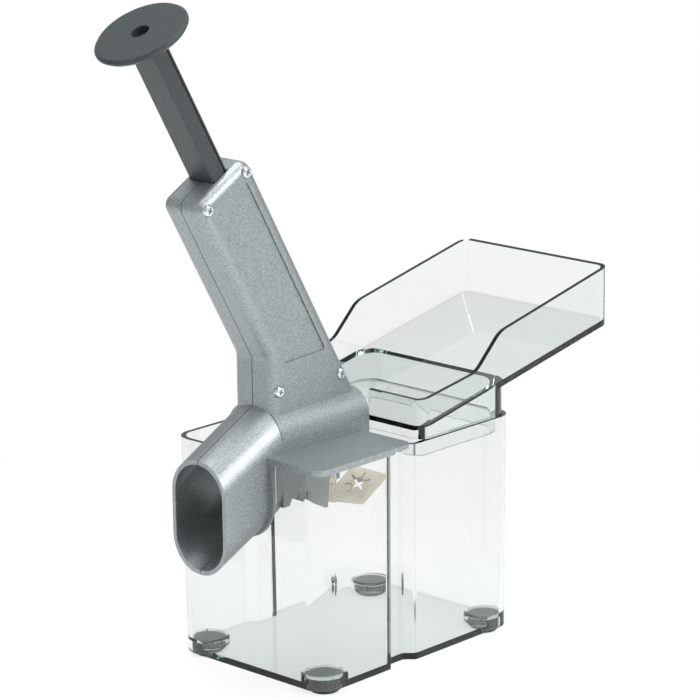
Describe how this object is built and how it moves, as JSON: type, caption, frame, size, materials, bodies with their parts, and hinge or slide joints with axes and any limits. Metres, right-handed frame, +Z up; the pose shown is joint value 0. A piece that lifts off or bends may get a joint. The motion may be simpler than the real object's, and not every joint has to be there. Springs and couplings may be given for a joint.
{
  "type": "cherry pitter",
  "caption": "Cherry pitter with a push plunger in a cast tilted head, a side chute, a clear stone container and a clear feed tray.",
  "frame": {"origin": "middle of the overall length and width, on the surface that the feet stand on", "axes": "+X from the chute towards the feed tray, +Y across to the far side, +Z up"},
  "size_m": [0.2758, 0.0966, 0.3129],
  "materials": {
    "clear_plastic": "clear moulded plastic",
    "clear_tray": "clear moulded plastic",
    "foot_rubber": "dark ribbed rubber",
    "cast_aluminium": "satin blasted casting",
    "screw_steel": "bright plated",
    "pad_silicone": "pale beige, slightly translucent",
    "black_plastic": "fine-grained satin",
    "pin_steel": "ground steel",
    "spring_steel": "drawn wire",
    "gate_plastic": "natural moulded plastic"
  },
  "bodies": {
    "base": {"container": "clear_plastic", "foot_front_near": "foot_rubber", "foot_front_far": "foot_rubber", "foot_rear_near": "foot_rubber", "foot_rear_far": "foot_rubber"},
    "head": {"head_half_near": "cast_aluminium", "head_half_far": "cast_aluminium", "head_screws": "screw_steel", "pit_pad": "pad_silicone", "gate_axle": "pin_steel", "spring_seat": "pin_steel", "stripper_ring": "pin_steel", "return_spring": "spring_steel"},
    "plunger": {"knob": "black_plastic", "plunger_bar": "black_plastic", "pitting_pin": "pin_steel", "cross_pin": "pin_steel"},
    "gate": {"feed_gate": "gate_plastic"},
    "tray": {"feed_tray": "clear_tray", "tray_locating_rim": "clear_tray"}
  },
  "joints": [
    {"name": "head_lift", "type": "slide", "parent": "base", "child": "head", "axis": [0, 0, 1], "range_m": [0, 0.12]},
    {"name": "tray_lift", "type": "slide", "parent": "head", "child": "tray", "axis": [0, 0, 1], "range_m": [0, 0.05]},
    {"name": "plunger_slide", "type": "slide", "parent": "head", "child": "plunger", "axis": [0.4924, 0, -0.8704], "range_m": [0, 0.06], "stiffness_N_per_m": 250, "springref_m": -0.02, "deforming": ["return_spring"]},
    {"name": "gate_swing", "type": "hinge", "parent": "head", "child": "gate", "pos_m": [-0.00608, 0, 0.1209], "axis": [0, 1, 0], "range_deg": [0, 82]}
  ],
  "couplings": [
    {"joint": "gate_swing", "follows": "plunger_slide", "rad_per_m": 23.2}
  ]
}
